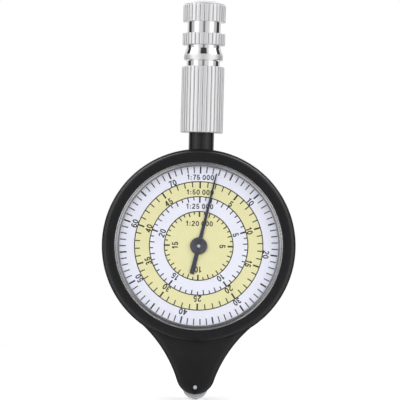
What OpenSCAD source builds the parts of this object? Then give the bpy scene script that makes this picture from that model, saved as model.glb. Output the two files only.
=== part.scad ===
// Map measurer: a wheel in the nose of a round case drives, through a train of gears, one arbor
// that carries a pointer over a dial on each face. Z is up, along the handle. The front dial
// faces -Y. The origin is where the measuring wheel touches the map. All sizes in millimetres.

/* [Measuring wheel] */
// Distance rolled for one turn of the pointers
pointer_travel = 1000; // [950:10:1050]
// Thickness of the measuring wheel
wheel_t = 1.6; // [1.2:0.1:2]
// Ridges around the rim of the wheel
wheel_ridges = 48; // [36:4:60]
// Depth of the ridges
ridge_depth = 0.15; // [0.05:0.05:0.25]
// Radius of the pin that carries the wheel
pin_r = 0.56; // [0.5:0.02:0.7]

/* [Gear train] */
// Teeth of the first three gears
gear_teeth = 30; // [30:1:31]
// Teeth of the gear on the centre arbor
centre_teeth = 28; // [28:1:29]
// Teeth of the pinion beside the wheel
wheel_pinion_teeth = 10; // [10:1:11]
// Teeth of the pinion on the first arbor
first_pinion_teeth = 10; // [10:1:11]
// Teeth of the pinion on the second arbor
second_pinion_teeth = 12; // [11:1:13]
// Teeth of the pinion on the third arbor
third_pinion_teeth = 14; // [13:1:15]
// Module of the first pair, at the wheel
fine_module = 0.25; // [0.24:0.01:0.26]
// Module of the second pair
middle_module = 0.5; // [0.48:0.01:0.52]
// Module of the third and fourth pairs
coarse_module = 0.55; // [0.53:0.01:0.57]
// Pressure angle of the teeth
pressure = 20; // [18:1:22]
// Play between meshed teeth, as a share of the module
backlash = 0.12; // [0.08:0.02:0.2]
// Thickness of the gears
gear_t = 0.8; // [0.6:0.1:0.9]
// Length of the pinions
pinion_t = 1.2; // [1:0.1:1.3]
// Radius of the arbors
arbor_r = 0.6; // [0.5:0.05:0.7]
// Radius of the pivots at the ends of the arbors
pivot_r = 0.35; // [0.3:0.05:0.45]
// Radius of the centre arbor
centre_arbor_r = 0.8; // [0.7:0.05:0.9]
// Lean of the line from the centre to the third arbor
third_lean = 6; // [4:1:8]
// Lean of the line from the third arbor to the second
second_lean = 7; // [5:1:9]
// Spokes of each gear
spokes = 4; // [3:1:5]
// Width of a spoke
spoke_w = 1.1; // [0.9:0.1:1.3]

/* [Movement frame] */
// Thickness of the movement plates
plate_t = 0.8; // [0.7:0.1:1]
// Radius of the pillars between the plates
pillar_r = 1.3; // [1.2:0.1:1.5]
// Distance of the pillars from the edge of the plates
pillar_inset = 5.6; // [5:0.1:6]
// Radius of the screws that hold the rear plate
plate_screw_r = 0.5; // [0.4:0.05:0.6]
// Outer radius of the bushes around the centre arbor
bush_r = 1.6; // [1.4:0.1:1.8]

/* [Dial and pointers] */
// Thickness of the dial plate
dial_t = 0.4; // [0.3:0.1:0.5]
// Width of the ring around the dial
ring_w = 1.1; // [1:0.05:1.4]
// Width of the flat step of that ring, next to the dial
ring_step = 0.25; // [0.15:0.05:0.35]
// Width of its gently rising band
ring_band = 0.45; // [0.3:0.05:0.5]
// Rise of that band, in degrees
ring_rise = 17; // [10:1:25]
// Turn of the pointers at rest, clockwise from the top of the front dial
rest_reading = 12.5; // [0:0.5:30]
// Space between the pointer's point and the ring around the dial
point_space = 1.25; // [1:0.05:2]
// Length of the pointer's tail
tail_l = 7.7; // [6:0.1:9]
// Width of the pointer at its hub
pointer_w = 1.1; // [0.9:0.05:1.3]
// Width of the pointer at its point
point_w = 0.3; // [0.2:0.05:0.4]
// Width of the tail at its end
tail_w = 1.25; // [1:0.05:1.5]
// Thickness of the pointer
pointer_t = 0.2; // [0.15:0.05:0.25]
// Radius of the hub that holds the pointer
hub_r = 2.3; // [2:0.1:2.6]
// Height of the hub's dome above the pointer
hub_dome = 0.5; // [0.4:0.05:0.6]
// Height of the centre arbor's rounded ends above the hubs
arbor_proud = 0.08; // [0.05:0.01:0.12]

/* [Crystal and bezel] */
// Thickness of the crystal
crystal_t = 1.2; // [1:0.1:1.4]
// Width of the bevel at the crystal's edge
crystal_bevel = 0.15; // [0.1:0.05:0.3]
// Space between the dial and the crystal
crystal_space = 1.3; // [1.25:0.05:1.5]
// Depth of the crystal's face below the bezel
crystal_recess = 0.2; // [0.1:0.05:0.3]
// Width of the bezel, from its outer edge to the crystal
bezel_w = 2.95; // [2.8:0.05:3]
// Rounding of the bezel's outer edge
bezel_round = 0.7; // [0.5:0.1:1.4]
// Rounding of the bezel's inner edge
bezel_inner_round = 0.2; // [0.1:0.05:0.4]
// Wall of the bezel's spigot in the case
spigot_wall = 0.6; // [0.5:0.05:0.65]

/* [Case] */
// Diameter of the round case
case_d = 52; // [52:0.1:53]
// Width of the case's rim outside the bezel
rim_w = 0.55; // [0.45:0.05:0.6]
// Chamfer of the case's rim
rim_chamfer = 0.25; // [0.1:0.05:0.3]
// Depth of the groove where the case halves meet
seam_depth = 0.2; // [0.15:0.05:0.25]
// Wall around the case
case_wall = 1.6; // [1.5:0.1:1.7]
// Thickness of the case's flange in front of the movement
flange_t = 1.2; // [1.1:0.05:1.4]
// Step of the nose's faces below the case's flange
nose_step = 0.1; // [0.05:0.05:0.3]
// Slope of the nose's faces towards the wheel, in degrees
nose_slope = 1.6; // [1:0.1:1.8]
// Rounding of the nose's edges
nose_round = 1.4; // [1:0.1:1.5]
// Wall at the sides of the nose
nose_wall = 1.2; // [1:0.1:1.3]
// Radius of the hollow curve of the nose's sides
flank_r = 34.2; // [33.6:0.1:34.5]
// Angle from straight down at which the nose leaves the case
nose_angle = 36; // [35.6:0.1:36.1]
// Radius of the nose's round tip
tip_r = 5.2; // [5.1:0.02:5.24]
// Height of the tip's centre above the wheel's pin
tip_rise = 3.1; // [3:0.05:3.15]
// Radius of the screws that join the case halves
case_screw_r = 0.5; // [0.4:0.05:0.55]
// Radius of the bosses around those screws
case_boss_r = 1.1; // [1.05:0.05:1.2]

/* [Handle] */
// Radius of the stem between case and handle
stem_r = 3.4; // [3.1:0.1:3.8]
// Length of the stem
stem_l = 4.4; // [3.5:0.1:6]
// Radius of the stud inside the handle
stud_r = 1.5; // [1.3:0.1:1.7]
// Radius over the handle's ridges
grip_r = 5.75; // [5.3:0.05:6.2]
// Depth of the handle's flutes
flute_depth = 0.32; // [0.2:0.02:0.4]
// Flutes around the handle
flutes = 30; // [24:2:36]
// Length of the fluted sleeve
sleeve_l = 17.9; // [15:0.1:22]
// Radius of the turned necks
neck_r = 4.5; // [4.2:0.05:4.7]
// Length of the neck above the sleeve
low_neck_l = 1.5; // [1:0.1:2]
// Radius of the bead
bead_r = 5.27; // [5:0.05:5.5]
// Height of the bead
bead_h = 1.5; // [1:0.1:1.8]
// Rounding of the bead's lower edge
bead_round = 0.45; // [0.2:0.05:0.6]
// Height of the cone above the bead
cone_h = 1.9; // [1.4:0.1:2.2]
// Radius of the neck above the cone
cone_top_r = 4.6; // [4.5:0.05:4.9]
// Length of the neck above the cone
cone_neck_l = 0.8; // [0.7:0.1:1.4]
// Height of the fluted ring
ring_h = 3.2; // [2.5:0.1:4.5]
// Length of the neck under the cap
cap_neck_l = 3.1; // [2.5:0.1:4.5]
// Height of the fluted cap
cap_h = 4.6; // [3.5:0.1:5.5]
// Height of the cap's dome
dome_h = 1.2; // [0.6:0.1:1.4]

/* [Clearances] */
// Radial clearance of a shaft that turns in a hole
running = 0.04; // [0.03:0.01:0.06]
// Radial clearance between pieces that are fixed together
press = 0.02; // [0.01:0.01:0.03]
// Space between layers of the movement
layer_gap = 0.3; // [0.25:0.05:0.35]
// Clearance around the wheel and the gears in the nose
nose_gap = 0.35; // [0.3:0.05:0.4]

/* [Hidden] */
$fn = 96;
// How far a cut runs past the faces it goes through
over = 1;
// Gap between faces that lie close together, and overlap of solids that are joined in one piece
mate = 0.05;

black = "#202020";
chrome = "#d9dadb";
steel = "#b9bcc0";
brass = "#c9a24a";
blued = "#232a3a";
paper = "#efecf3";
silver = "#a9abae";
clear = "#dfe8ee80";

// Reduction from the wheel to the pointers, and the wheel's radius that follows from it
reduction = gear_teeth / wheel_pinion_teeth * gear_teeth / first_pinion_teeth
    * gear_teeth / second_pinion_teeth * centre_teeth / third_pinion_teeth;
wheel_r = pointer_travel / reduction / (2 * PI);

// Axes of the train, seen from the front with the dial axis at [0, 0]
function reach(teeth_a, teeth_b, size) = (teeth_a + teeth_b) * size / 2;
third_at = reach(third_pinion_teeth, centre_teeth, coarse_module)
    * [sin(third_lean), -cos(third_lean)];
second_at = third_at + reach(second_pinion_teeth, gear_teeth, coarse_module)
    * [-sin(second_lean), -cos(second_lean)];
first_reach = reach(first_pinion_teeth, gear_teeth, middle_module);
first_at = [0, second_at.y - sqrt(pow(first_reach, 2) - pow(second_at.x, 2))];
wheel_at = [0, first_at.y - reach(wheel_pinion_teeth, gear_teeth, fine_module)];
dial_z = wheel_r - wheel_at.y;

// Levels along the dial axis, counted from the middle of the case towards the front
first_level = -(wheel_t / 2 + layer_gap + gear_t / 2);
second_level = wheel_t / 2 + layer_gap + pinion_t / 2;
third_level = second_level - gear_t / 2 - layer_gap - pinion_t / 2;
centre_level = third_level - gear_t / 2 - layer_gap - pinion_t / 2;
plate_in = second_level + pinion_t / 2 + layer_gap;
plate_out = plate_in + plate_t;
dial_face = plate_out + dial_t;
case_face = plate_out + flange_t;
crystal_in = dial_face + crystal_space;
crystal_out = crystal_in + crystal_t;
bezel_face = crystal_out + crystal_recess;
nose_t = case_face - nose_step;
pointer_level = dial_face + layer_gap;
pointer_top = pointer_level + pointer_t;
pivot_end = plate_out - mate;
wheel_pinion_end = first_level - pinion_t / 2 - mate;

case_r = case_d / 2;
cavity_r = case_r - case_wall;
bezel_r = case_r - rim_w;
bezel_bore_r = bezel_r - bezel_w;
crystal_r = bezel_bore_r - mate;
view_r = crystal_r - ring_w;
pointer_l = view_r - point_space;
spigot_r = bezel_bore_r + spigot_wall;
window_r = spigot_r + mate;
dial_r = window_r - layer_gap / 2;
plate_r = cavity_r - layer_gap;
pillar_place = plate_r - pillar_inset;
case_boss_place = window_r + case_boss_r + mate;
case_screw_angles = [30, 150, 210, 330];
pillar_angles = [35, 145, 215, 325];

// Outline of the nose: hollow flanks from the case to a round tip around the wheel's pin
tip_at = [0, wheel_at.y + tip_rise];
nose_join = case_r * [sin(nose_angle), -cos(nose_angle)];
flank_steps = 12;
flank_lead = 2;
tip_steps = 16;

function crossing(c1, r1, c2, r2) =
    let (way = c2 - c1, d = norm(way), along = (r1 * r1 - r2 * r2 + d * d) / (2 * d))
    c1 + along * way / d + sqrt(r1 * r1 - along * along) * [-way.y, way.x] / d;
function bearing(from, to) = atan2(to.y - from.y, to.x - from.x);
function flank_point(inset, angle) = flank_at + (flank_r + inset) * [cos(angle), sin(angle)];

flank_at = crossing(nose_join, flank_r, tip_at, flank_r + tip_r);
flank_start = bearing(flank_at, nose_join);
flank_end = bearing(flank_at, tip_at);

function nose_side(inset) = [for (i = [-flank_lead:flank_steps])
    flank_point(inset, flank_start + (flank_end - flank_start) * i / flank_steps)];
function nose_tip(inset) = [for (i = [1:tip_steps - 1])
    let (angle = flank_end - 180 - (2 * flank_end - 180) * i / tip_steps)
    tip_at + (tip_r - inset) * [cos(angle), sin(angle)]];
function nose_outline(inset) = concat(nose_side(inset), nose_tip(inset),
    [for (i = [flank_steps + flank_lead:-1:0]) let (p = nose_side(inset)[i]) [-p.x, p.y]]);

// Half of the nose: a middle between two hollow flanks, and a round tip, with rounded edges.
// It leans as a whole, so that its face slopes to the wheel and its sides have some draft.
round_steps = 6;
function edge_arc(r, way) = [for (i = [0:round_steps]) let (turn = 90 * i / round_steps)
    [r + way * nose_round * (1 - cos(turn)), nose_t - nose_round * (1 - sin(turn))]];

module nose_tip_solid() translate([tip_at.x, tip_at.y, 0]) rotate_extrude()
    polygon(concat([[0, -over], [tip_r, -over]], edge_arc(tip_r, -1), [[0, nose_t]]));

module flank_cutter() translate([flank_at.x, flank_at.y, 0]) rotate_extrude($fn = 4 * $fn)
    polygon(concat([[flank_r / 2, -2 * over], [flank_r, -2 * over]], edge_arc(flank_r, 1),
        [[flank_r + nose_round, nose_t + over], [flank_r / 2, nose_t + over]]));

module nose_middle() {
    shoulder_x = nose_join.x + tip_r / 2;
    side = tip_at + 1.5 * tip_r * [-cos(flank_end), -sin(flank_end)];
    difference() {
        rise(-over, nose_t) polygon([[shoulder_x, nose_join.y], side, tip_at,
            [-side.x, side.y], [-shoulder_x, nose_join.y]]);
        flank_cutter();
        mirror([1, 0, 0]) flank_cutter();
    }
}

module nose_half() intersection() {
    translate([0, nose_join.y, nose_t]) rotate([nose_slope, 0, 0])
        translate([0, -nose_join.y, -nose_t]) {
            nose_middle();
            nose_tip_solid();
        }
    translate([-case_r, -2 * case_r, 0]) cube([2 * case_r, 2 * case_r, 2 * nose_t]);
}

// Working frame of the case: X to the right, Y up from the dial axis, Z towards the front
module on_dial_axis() translate([0, 0, dial_z]) rotate([90, 0, 0]) children();
module at(place) translate([place.x, place.y, 0]) children();
module around(distance, angles) for (a = angles)
    translate([distance * cos(a), distance * sin(a), 0]) children();
module rise(low, high) translate([0, 0, low]) linear_extrude(high - low) children();
module rod(r, low, high) translate([0, 0, low]) cylinder(r = r, h = high - low);
module tube(r_out, r_in, low, high) difference() {
    rod(r_out, low, high);
    rod(r_in, low - over, high + over);
}

// Involute teeth. Small pinions are shifted outwards, and their gears inwards by as much.
addendum = 0.9;
dedendum = 1.25;
curve_steps = 5;
function shift_of(teeth) = max(0, (17 - teeth) / 17);
pinion_room_r = fine_module * (wheel_pinion_teeth / 2 + addendum + shift_of(wheel_pinion_teeth))
    + layer_gap / 2;
function involute(angle) = tan(angle) * 180 / PI - angle;
function tooth_half(r, teeth, size, shift) =
    let (base = size * teeth / 2 * cos(pressure), lean = r > base ? acos(base / r) : 0)
    (90 + (2 * shift * tan(pressure) - backlash / 2) * 180 / PI) / teeth
        + involute(pressure) - involute(lean);
function gear_outline(teeth, size, shift) =
    let (low = size * (teeth / 2 - dedendum + shift), high = size * (teeth / 2 + addendum + shift))
    [for (i = [0:teeth - 1]) for (side = [-1, 1]) for (k = [0:curve_steps])
        let (share = side < 0 ? k / curve_steps : 1 - k / curve_steps,
            r = low + (high - low) * share,
            a = 360 * i / teeth + side * tooth_half(r, teeth, size, shift))
        r * [cos(a), sin(a)]];

// Turn of a gear so that a gap meets the tooth of its partner, which lies back along "way"
function mesh_turn(teeth_a, turn_a, way, teeth_b) =
    way + 180 - (180 - (way - turn_a) * teeth_a) / teeth_b;
wheel_turn = -90;
first_turn = mesh_turn(wheel_pinion_teeth, wheel_turn, bearing(wheel_at, first_at), gear_teeth);
second_turn = mesh_turn(first_pinion_teeth, first_turn, bearing(first_at, second_at), gear_teeth);
third_turn = mesh_turn(second_pinion_teeth, second_turn, bearing(second_at, third_at), gear_teeth);
centre_turn = mesh_turn(third_pinion_teeth, third_turn, bearing(third_at, [0, 0]), centre_teeth);

module toothed(teeth, size, shift, bore, level, thick) rise(level - thick / 2, level + thick / 2)
    difference() {
        polygon(gear_outline(teeth, size, shift));
        circle(r = bore);
    }

// Spaces between the spokes of a gear
window_steps = 8;
module crossings(rim_r, hub) {
    span = 360 / spokes;
    outer = [for (i = [0:window_steps])
        let (edge = asin(spoke_w / 2 / rim_r), a = edge + (span - 2 * edge) * i / window_steps)
        rim_r * [cos(a), sin(a)]];
    inner = [for (i = [window_steps:-1:0])
        let (edge = asin(spoke_w / 2 / hub), a = edge + (span - 2 * edge) * i / window_steps)
        hub * [cos(a), sin(a)]];
    for (i = [0:spokes - 1]) rotate(i * span + span / 2) polygon(concat(outer, inner));
}

module gear(teeth, size, partner, bore, level) {
    root_r = size * (teeth / 2 - dedendum - shift_of(partner));
    difference() {
        toothed(teeth, size, -shift_of(partner), bore, level, gear_t);
        rise(level - over, level + over) crossings(root_r - spoke_w * 0.8, bore + spoke_w);
    }
}

module pinion(teeth, size, bore, level, thick = pinion_t)
    toothed(teeth, size, shift_of(teeth), bore, level, thick);

module arbor(r) {
    rod(r, -plate_in + mate, plate_in - mate);
    rod(pivot_r, -pivot_end, pivot_end);
}

// Case halves
module wheel_slot() {
    at(wheel_at) rod(wheel_r + nose_gap, -wheel_t / 2 - layer_gap, wheel_t / 2 + layer_gap);
    translate([-case_r / 2, wheel_at.y - 2 * tip_r, -wheel_t / 2 - layer_gap])
        cube([case_r, 2 * tip_r + tip_rise / 4, wheel_t + 2 * layer_gap]);
}

// Half of the groove that runs around the case where its halves meet
module seam_groove() difference() {
    translate([-2 * case_r, -2 * case_r, -over])
        cube([4 * case_r, 4 * case_r, over + seam_depth / 2]);
    rod(case_r - seam_depth, -2 * over, seam_depth);
    rise(-2 * over, seam_depth) polygon(nose_outline(seam_depth));
    translate([seam_depth - stem_r, 0, -2 * over])
        cube([2 * stem_r - 2 * seam_depth, 2 * case_r, 2 * over + seam_depth]);
}

module case_shell() {
    difference() {
        union() {
            rotate_extrude() polygon([[0, 0], [case_r, 0], [case_r, case_face - rim_chamfer],
                [case_r - rim_chamfer, case_face], [0, case_face]]);
            nose_half();
            intersection() {
                rotate([-90, 0, 0]) rod(stem_r, cavity_r, case_r + stem_l);
                translate([-stem_r, 0, 0]) cube([2 * stem_r, 2 * case_r, stem_r]);
            }
        }
        rod(cavity_r, -over, plate_out);
        rod(window_r, -over, case_face + over);
        rise(-over, plate_out) polygon(nose_outline(nose_wall));
        seam_groove();
    }
    around(case_boss_place, case_screw_angles) rod(case_boss_r, 0, case_face - mate);
}

// A boss for the wheel's pin stands in each half of the nose, up to the wheel or its pinion
module case_half(boss_end) difference() {
    union() {
        difference() {
            case_shell();
            wheel_slot();
            at(wheel_at) rod(pinion_room_r, -over, boss_end);
        }
        at(wheel_at) rod(pin_r + nose_wall / 2, boss_end, plate_out + mate);
    }
    at(wheel_at) rod(pin_r + press, -over, nose_t + over);
    rotate([-90, 0, 0]) rod(stud_r + press, 0, case_r + stem_l + over);
}

module front_case() color(black) on_dial_axis() difference() {
    case_half(wheel_t / 2 + layer_gap / 2);
    around(case_boss_place, case_screw_angles) rod(case_screw_r + press, -over, plate_out);
}

module rear_case() color(black) on_dial_axis() mirror([0, 0, 1]) difference() {
    case_half(-wheel_pinion_end + layer_gap / 2);
    around(case_boss_place, case_screw_angles) {
        rod(case_screw_r + press, -over, case_face + over);
        translate([0, 0, case_face - case_screw_r])
            cylinder(r1 = case_screw_r + press, r2 = 2 * case_screw_r + press, h = case_screw_r);
    }
}

// Screw whose head lies just below the face of its countersunk hole
module countersunk_screw(r, face, end) {
    rod(r, end, face - r / 2);
    translate([0, 0, face - r]) cylinder(r1 = r, r2 = 2 * r - mate, h = r - mate);
}

module case_screws() color(steel) on_dial_axis() mirror([0, 0, 1])
    around(case_boss_place, case_screw_angles)
        countersunk_screw(case_screw_r, case_face, layer_gap - plate_out);

// Bezels, crystals and dials, made for the front and mirrored for the rear
module bezel() {
    round_at = [bezel_r - bezel_round, bezel_face - bezel_round];
    lip_at = [bezel_bore_r + bezel_inner_round, bezel_face - bezel_inner_round];
    rotate_extrude() polygon(concat(
        [[bezel_bore_r, dial_face + mate], [spigot_r, dial_face + mate],
            [spigot_r, case_face], [bezel_r, case_face]],
        [for (a = [0:10:90]) round_at + bezel_round * [cos(a), sin(a)]],
        [for (a = [90:30:180]) lip_at + bezel_inner_round * [cos(a), sin(a)]]));
}

module crystal() rotate_extrude() polygon([[0, crystal_in], [crystal_r, crystal_in],
    [crystal_r, crystal_out - crystal_bevel],
    [crystal_r - crystal_bevel, crystal_out], [0, crystal_out]]);

// From the dial outwards: a steep wall, a flat step, a gentle rise and a bevel under the crystal
module dial_ring() {
    top = crystal_in - mate;
    band_r = view_r + mate * 2 + ring_step;
    bevel_r = band_r + ring_band;
    bevel = crystal_r - bevel_r - mate;
    band_low = top - bevel - ring_band * tan(ring_rise);
    rotate_extrude() polygon([[view_r, dial_face], [crystal_r, dial_face], [crystal_r, top],
        [bevel_r + bevel, top], [bevel_r, top - bevel], [band_r, band_low],
        [view_r + mate * 2, band_low]]);
}

foot_r = 0.5;
foot_place = pillar_place + pillar_r;
foot_angles = [90, 250];

module dial() {
    tube(dial_r, bush_r + press, plate_out, dial_face);
    around(foot_place, foot_angles) rod(foot_r, plate_in + mate, plate_out + mate);
}

module mirrored(side) on_dial_axis() mirror([0, 0, side < 0 ? 1 : 0]) children();
module front_bezel() color(black) mirrored(1) bezel();
module rear_bezel() color(black) mirrored(-1) bezel();
module front_crystal() color(clear) mirrored(1) crystal();
module rear_crystal() color(clear) mirrored(-1) crystal();
module front_dial_ring() color(silver) mirrored(1) dial_ring();
module rear_dial_ring() color(silver) mirrored(-1) dial_ring();
module front_dial() color(paper) mirrored(1) dial();
module rear_dial() color(paper) mirrored(-1) dial();

// Movement frame
module plate_hole(r) rod(r, plate_in - over, plate_out + over);

module plate() {
    tongue_end = first_at.y - arbor_r - nose_wall * 1.5;
    difference() {
        union() {
            rod(plate_r, plate_in, plate_out);
            intersection() {
                rise(plate_in, plate_out) polygon(nose_outline(nose_wall + nose_gap));
                translate([-case_r, tongue_end, 0]) cube([2 * case_r, -tongue_end, nose_t]);
            }
        }
        plate_hole(bush_r + press);
        around(case_boss_place, case_screw_angles) plate_hole(case_boss_r + layer_gap / 2);
        around(foot_place, foot_angles) plate_hole(foot_r + press);
        for (place = [first_at, second_at, third_at]) at(place) plate_hole(pivot_r + running);
    }
}

tenon_r = pillar_r * 0.6;

module front_plate() color(brass) mirrored(1) difference() {
    plate();
    around(pillar_place, pillar_angles) plate_hole(tenon_r + press);
}

module rear_plate() color(brass) mirrored(-1) difference() {
    plate();
    around(pillar_place, pillar_angles) {
        plate_hole(plate_screw_r + press);
        translate([0, 0, plate_out - plate_screw_r])
            cylinder(r1 = plate_screw_r + press, r2 = 2 * plate_screw_r + press, h = plate_screw_r);
    }
}

screw_depth = 2;
module plate_pillars() color(brass) on_dial_axis() around(pillar_place, pillar_angles)
    difference() {
        union() {
            rod(pillar_r, -plate_in, plate_in);
            rod(tenon_r, 0, plate_out - mate);
        }
        rod(plate_screw_r + press, -plate_in - over, -plate_in + screw_depth + mate);
    }

module plate_screws() color(steel) mirrored(-1) around(pillar_place, pillar_angles)
    countersunk_screw(plate_screw_r, plate_out, plate_in - screw_depth);

module bush() tube(bush_r, centre_arbor_r + running, plate_in, dial_face + layer_gap / 3);
module front_bush() color(brass) mirrored(1) bush();
module rear_bush() color(brass) mirrored(-1) bush();

// Wheel and train
pin_end = nose_t - (nose_join.y - wheel_at.y) * tan(nose_slope);
module wheel_pin() color(chrome) on_dial_axis() at(wheel_at) rod(pin_r, -pin_end, pin_end);

module measuring_wheel() color(steel) on_dial_axis() at(wheel_at) rotate(wheel_turn)
    difference() {
        intersection() {
            rise(-wheel_t / 2, wheel_t / 2) polygon([for (i = [0:2 * wheel_ridges - 1])
                let (a = 180 * i / wheel_ridges, r = wheel_r - ridge_depth * (i % 2))
                r * [cos(a), sin(a)]]);
            rotate_extrude() polygon([[0, -wheel_t / 2], [wheel_r - wheel_t / 5, -wheel_t / 2],
                [wheel_r + mate, -wheel_t / 4], [wheel_r + mate, wheel_t / 4],
                [wheel_r - wheel_t / 5, wheel_t / 2], [0, wheel_t / 2]]);
        }
        rod(pin_r + running, -wheel_t, wheel_t);
    }

module turning_at(place, turn) on_dial_axis() at(place) rotate(turn) children();

module wheel_pinion() color(brass) turning_at(wheel_at, wheel_turn)
    rise(wheel_pinion_end, -wheel_t / 2) difference() {
        polygon(gear_outline(wheel_pinion_teeth, fine_module, shift_of(wheel_pinion_teeth)));
        circle(r = pin_r + running);
    }

module first_arbor() color(steel) turning_at(first_at, 0) arbor(arbor_r);
module first_gear() color(brass) turning_at(first_at, first_turn)
    gear(gear_teeth, fine_module, wheel_pinion_teeth, arbor_r + press, first_level);
module first_pinion() color(brass) turning_at(first_at, first_turn)
    pinion(first_pinion_teeth, middle_module, arbor_r + press, second_level);

module second_arbor() color(steel) turning_at(second_at, 0) arbor(arbor_r);
module second_gear() color(brass) turning_at(second_at, second_turn)
    gear(gear_teeth, middle_module, first_pinion_teeth, arbor_r + press, second_level);
module second_pinion() color(brass) turning_at(second_at, second_turn)
    pinion(second_pinion_teeth, coarse_module, arbor_r + press, third_level);

module third_arbor() color(steel) turning_at(third_at, 0) arbor(arbor_r);
module third_gear() color(brass) turning_at(third_at, third_turn)
    gear(gear_teeth, coarse_module, second_pinion_teeth, arbor_r + press, third_level);
module third_pinion() color(brass) turning_at(third_at, third_turn)
    pinion(third_pinion_teeth, coarse_module, arbor_r + press, centre_level);

hub_bore_r = centre_arbor_r * 0.55;
hub_sleeve_r = hub_bore_r + press + 0.3;
shoulder = dial_face + layer_gap / 2;
centre_arbor_end = pointer_top + hub_dome + arbor_proud;

module centre_arbor() color(steel) on_dial_axis() {
    rod(centre_arbor_r, -shoulder, shoulder);
    for (side = [0, 1]) mirror([0, 0, side]) rotate_extrude() polygon(concat(
        [[0, 0], [hub_bore_r, 0]],
        [for (a = [0:15:90])
            [hub_bore_r * cos(a), centre_arbor_end - hub_bore_r / 2 * (1 - sin(a))]]));
}

module centre_gear() color(brass) turning_at([0, 0], centre_turn)
    gear(centre_teeth, coarse_module, third_pinion_teeth, centre_arbor_r + press, centre_level);

// Pointers
module pointer() difference() {
    union() {
        rise(pointer_level, pointer_top) polygon([[-pointer_w / 2, 0],
            [-point_w / 2, pointer_l - point_w], [0, pointer_l],
            [point_w / 2, pointer_l - point_w], [pointer_w / 2, 0],
            [tail_w / 2, -tail_l], [-tail_w / 2, -tail_l]]);
        rod(hub_r - layer_gap, pointer_level, pointer_top);
    }
    rod(hub_sleeve_r + press, pointer_level - over, pointer_top + over);
}

module pointer_hub() rotate_extrude() polygon(concat(
    [[hub_bore_r + press, shoulder + mate], [hub_sleeve_r, shoulder + mate],
        [hub_sleeve_r, pointer_top], [hub_r, pointer_top]],
    [for (a = [each [15:15:75], acos((hub_bore_r + press) / hub_r)])
        [hub_r * cos(a), pointer_top + hub_dome * sin(a)]]));

module front_pointer() color(blued) mirrored(1) rotate(-rest_reading) pointer();
module rear_pointer() color(blued) mirrored(-1) rotate(rest_reading) pointer();
module front_pointer_hub() color(blued) mirrored(1) pointer_hub();
module rear_pointer_hub() color(blued) mirrored(-1) pointer_hub();

// Handle: one fluted bar, turned down at its necks and screwed on a headed stud
stem_top = case_r + stem_l;
sleeve_top = stem_top + sleeve_l;
bead_low = sleeve_top + low_neck_l;
bead_top = bead_low + bead_h;
cone_top = bead_top + cone_h;
ring_low = cone_top + cone_neck_l;
ring_top = ring_low + ring_h;
cap_low = ring_top + cap_neck_l;
cap_top = cap_low + cap_h;
stud_head_r = stud_r * 1.5;
stud_head_top = sqrt(pow(cavity_r, 2) - pow(stud_head_r, 2)) - mate;
stud_top = ring_top;
edge = flute_depth * 0.7;

module handle_stud() color(steel) translate([0, 0, dial_z]) {
    rod(stud_r, stud_head_top - mate, stud_top);
    rod(stud_head_r, stud_head_top - stud_r, stud_head_top);
}

module fluted_bar(low, high) rise(low, high) polygon([for (i = [0:flutes - 1])
    for (step = [[0, 0.15], [0.2, 0], [0.5, 0], [0.8, 0], [1, 0.15], [1.25, 0.8], [1.5, 1]])
        let (a = 360 * (i + (step[0] - 0.5) / 1.75) / flutes, r = grip_r - flute_depth * step[1])
        r * [cos(a), sin(a)]]);

module handle_grip() color(chrome) translate([0, 0, dial_z]) difference() {
    intersection() {
        fluted_bar(stem_top, cap_top + dome_h);
        rotate_extrude() polygon(concat(
            [[0, stem_top], [grip_r - edge, stem_top], [grip_r, stem_top + edge],
                [grip_r, sleeve_top - edge], [grip_r - edge, sleeve_top],
                [neck_r, sleeve_top], [neck_r, bead_low]],
            [for (a = [-90:30:0]) [bead_r - bead_round * (1 - cos(a)),
                bead_low + bead_round * (1 + sin(a))]],
            [[bead_r, bead_top], [cone_top_r, cone_top],
                [cone_top_r, ring_low], [grip_r - edge, ring_low], [grip_r, ring_low + edge],
                [grip_r, ring_top - edge / 2], [grip_r - edge / 2, ring_top],
                [neck_r, ring_top], [neck_r, cap_low], [grip_r - edge / 2, cap_low],
                [grip_r, cap_low + edge / 2], [grip_r, cap_top - edge]],
            [for (a = [0:15:90])
                [(grip_r - edge) * cos(a), cap_top + dome_h * sin(a)]]));
    }
    rod(stud_r + press, stem_top - over, stud_top + mate);
}

front_case();
rear_case();
case_screws();
front_bezel();
rear_bezel();
front_crystal();
rear_crystal();
front_dial_ring();
rear_dial_ring();
front_dial();
rear_dial();
front_plate();
rear_plate();
plate_pillars();
plate_screws();
front_bush();
rear_bush();
wheel_pin();
measuring_wheel();
wheel_pinion();
first_arbor();
first_gear();
first_pinion();
second_arbor();
second_gear();
second_pinion();
third_arbor();
third_gear();
third_pinion();
centre_arbor();
centre_gear();
front_pointer();
front_pointer_hub();
rear_pointer();
rear_pointer_hub();
handle_stud();
handle_grip();
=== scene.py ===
"""Map measurer: finishes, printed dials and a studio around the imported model."""

import math

import bmesh
import bpy
from bpy.props import FloatProperty, FloatVectorProperty, PointerProperty
from mathutils import Matrix, Vector


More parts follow.
